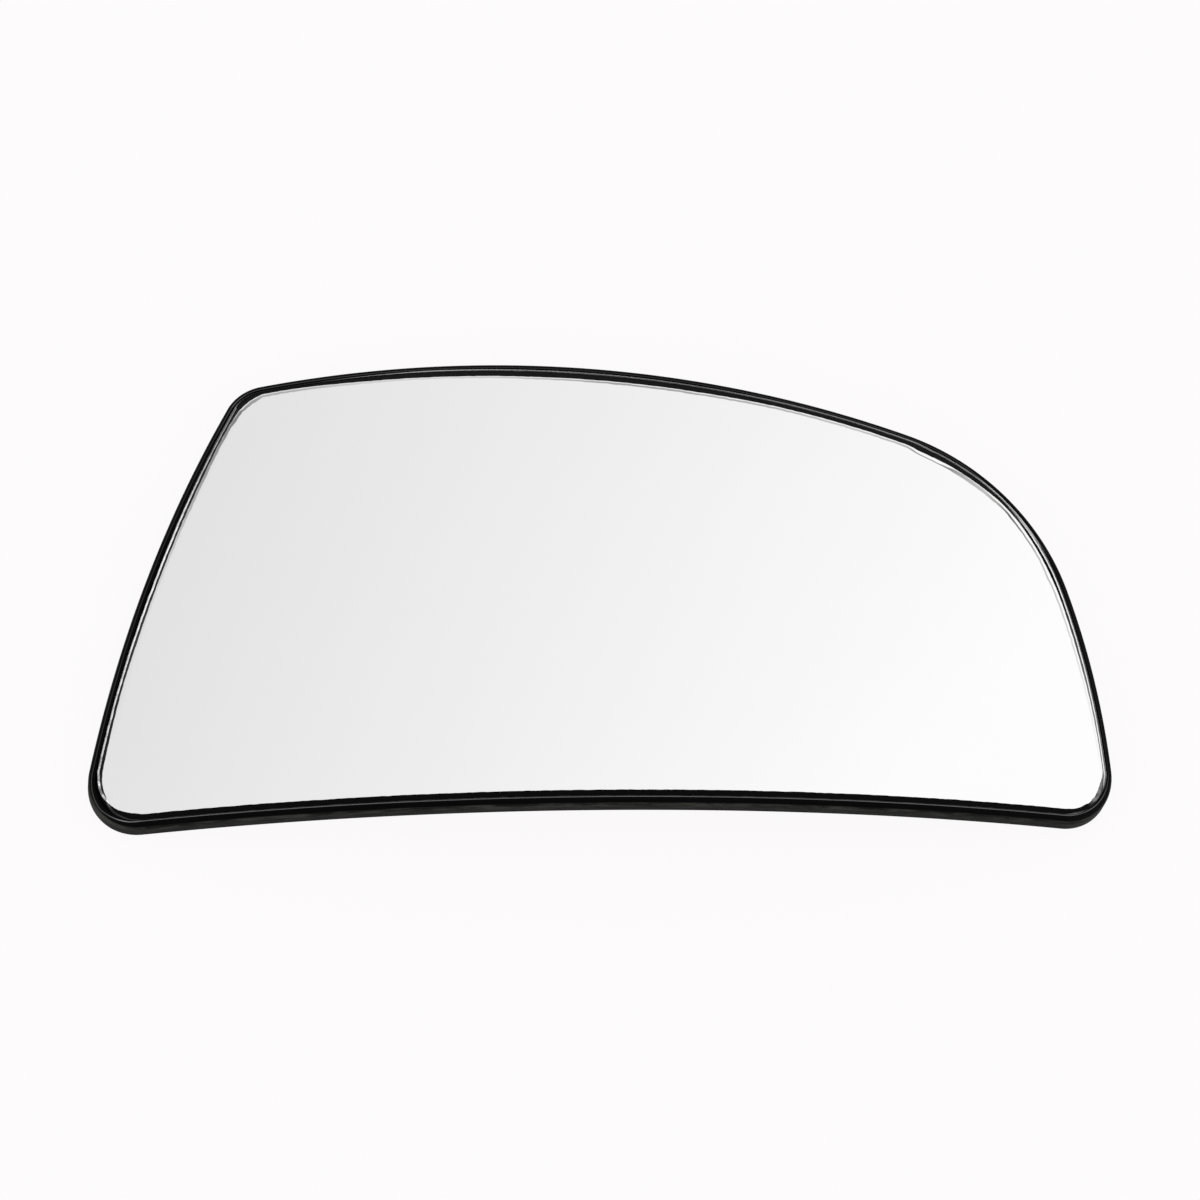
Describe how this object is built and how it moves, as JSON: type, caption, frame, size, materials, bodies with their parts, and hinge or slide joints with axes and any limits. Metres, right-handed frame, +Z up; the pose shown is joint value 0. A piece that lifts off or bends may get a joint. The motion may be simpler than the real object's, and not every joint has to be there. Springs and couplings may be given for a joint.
{
  "type": "car door mirror glass",
  "caption": "Convex mirror glass with a ground edge, bonded in a thin-rimmed black backing plate with a round clip ring and stiffening ribs behind.",
  "frame": {"origin": "middle of the plan outline, on the surface that the part lies on, under its lowest rim corners", "axes": "+Z up, out of the domed front of the glass; +X along the straight lower edge, to the right as the glass is looked at; +Y from the straight lower edge to the curved top edge"},
  "size_m": [0.1994, 0.095, 0.0214],
  "materials": {
    "mirror_glass": "bright silvered convex glass with a matt ground edge and chamfer",
    "adhesive_foam": "closed-cell double-sided adhesive foam",
    "black_plastic": "black moulded plastic, satin, with rounded rim"
  },
  "bodies": {
    "root": {"mirror_glass": "mirror_glass", "adhesive_pad": "adhesive_foam", "backing_plate": "black_plastic"}
  },
  "joints": []
}
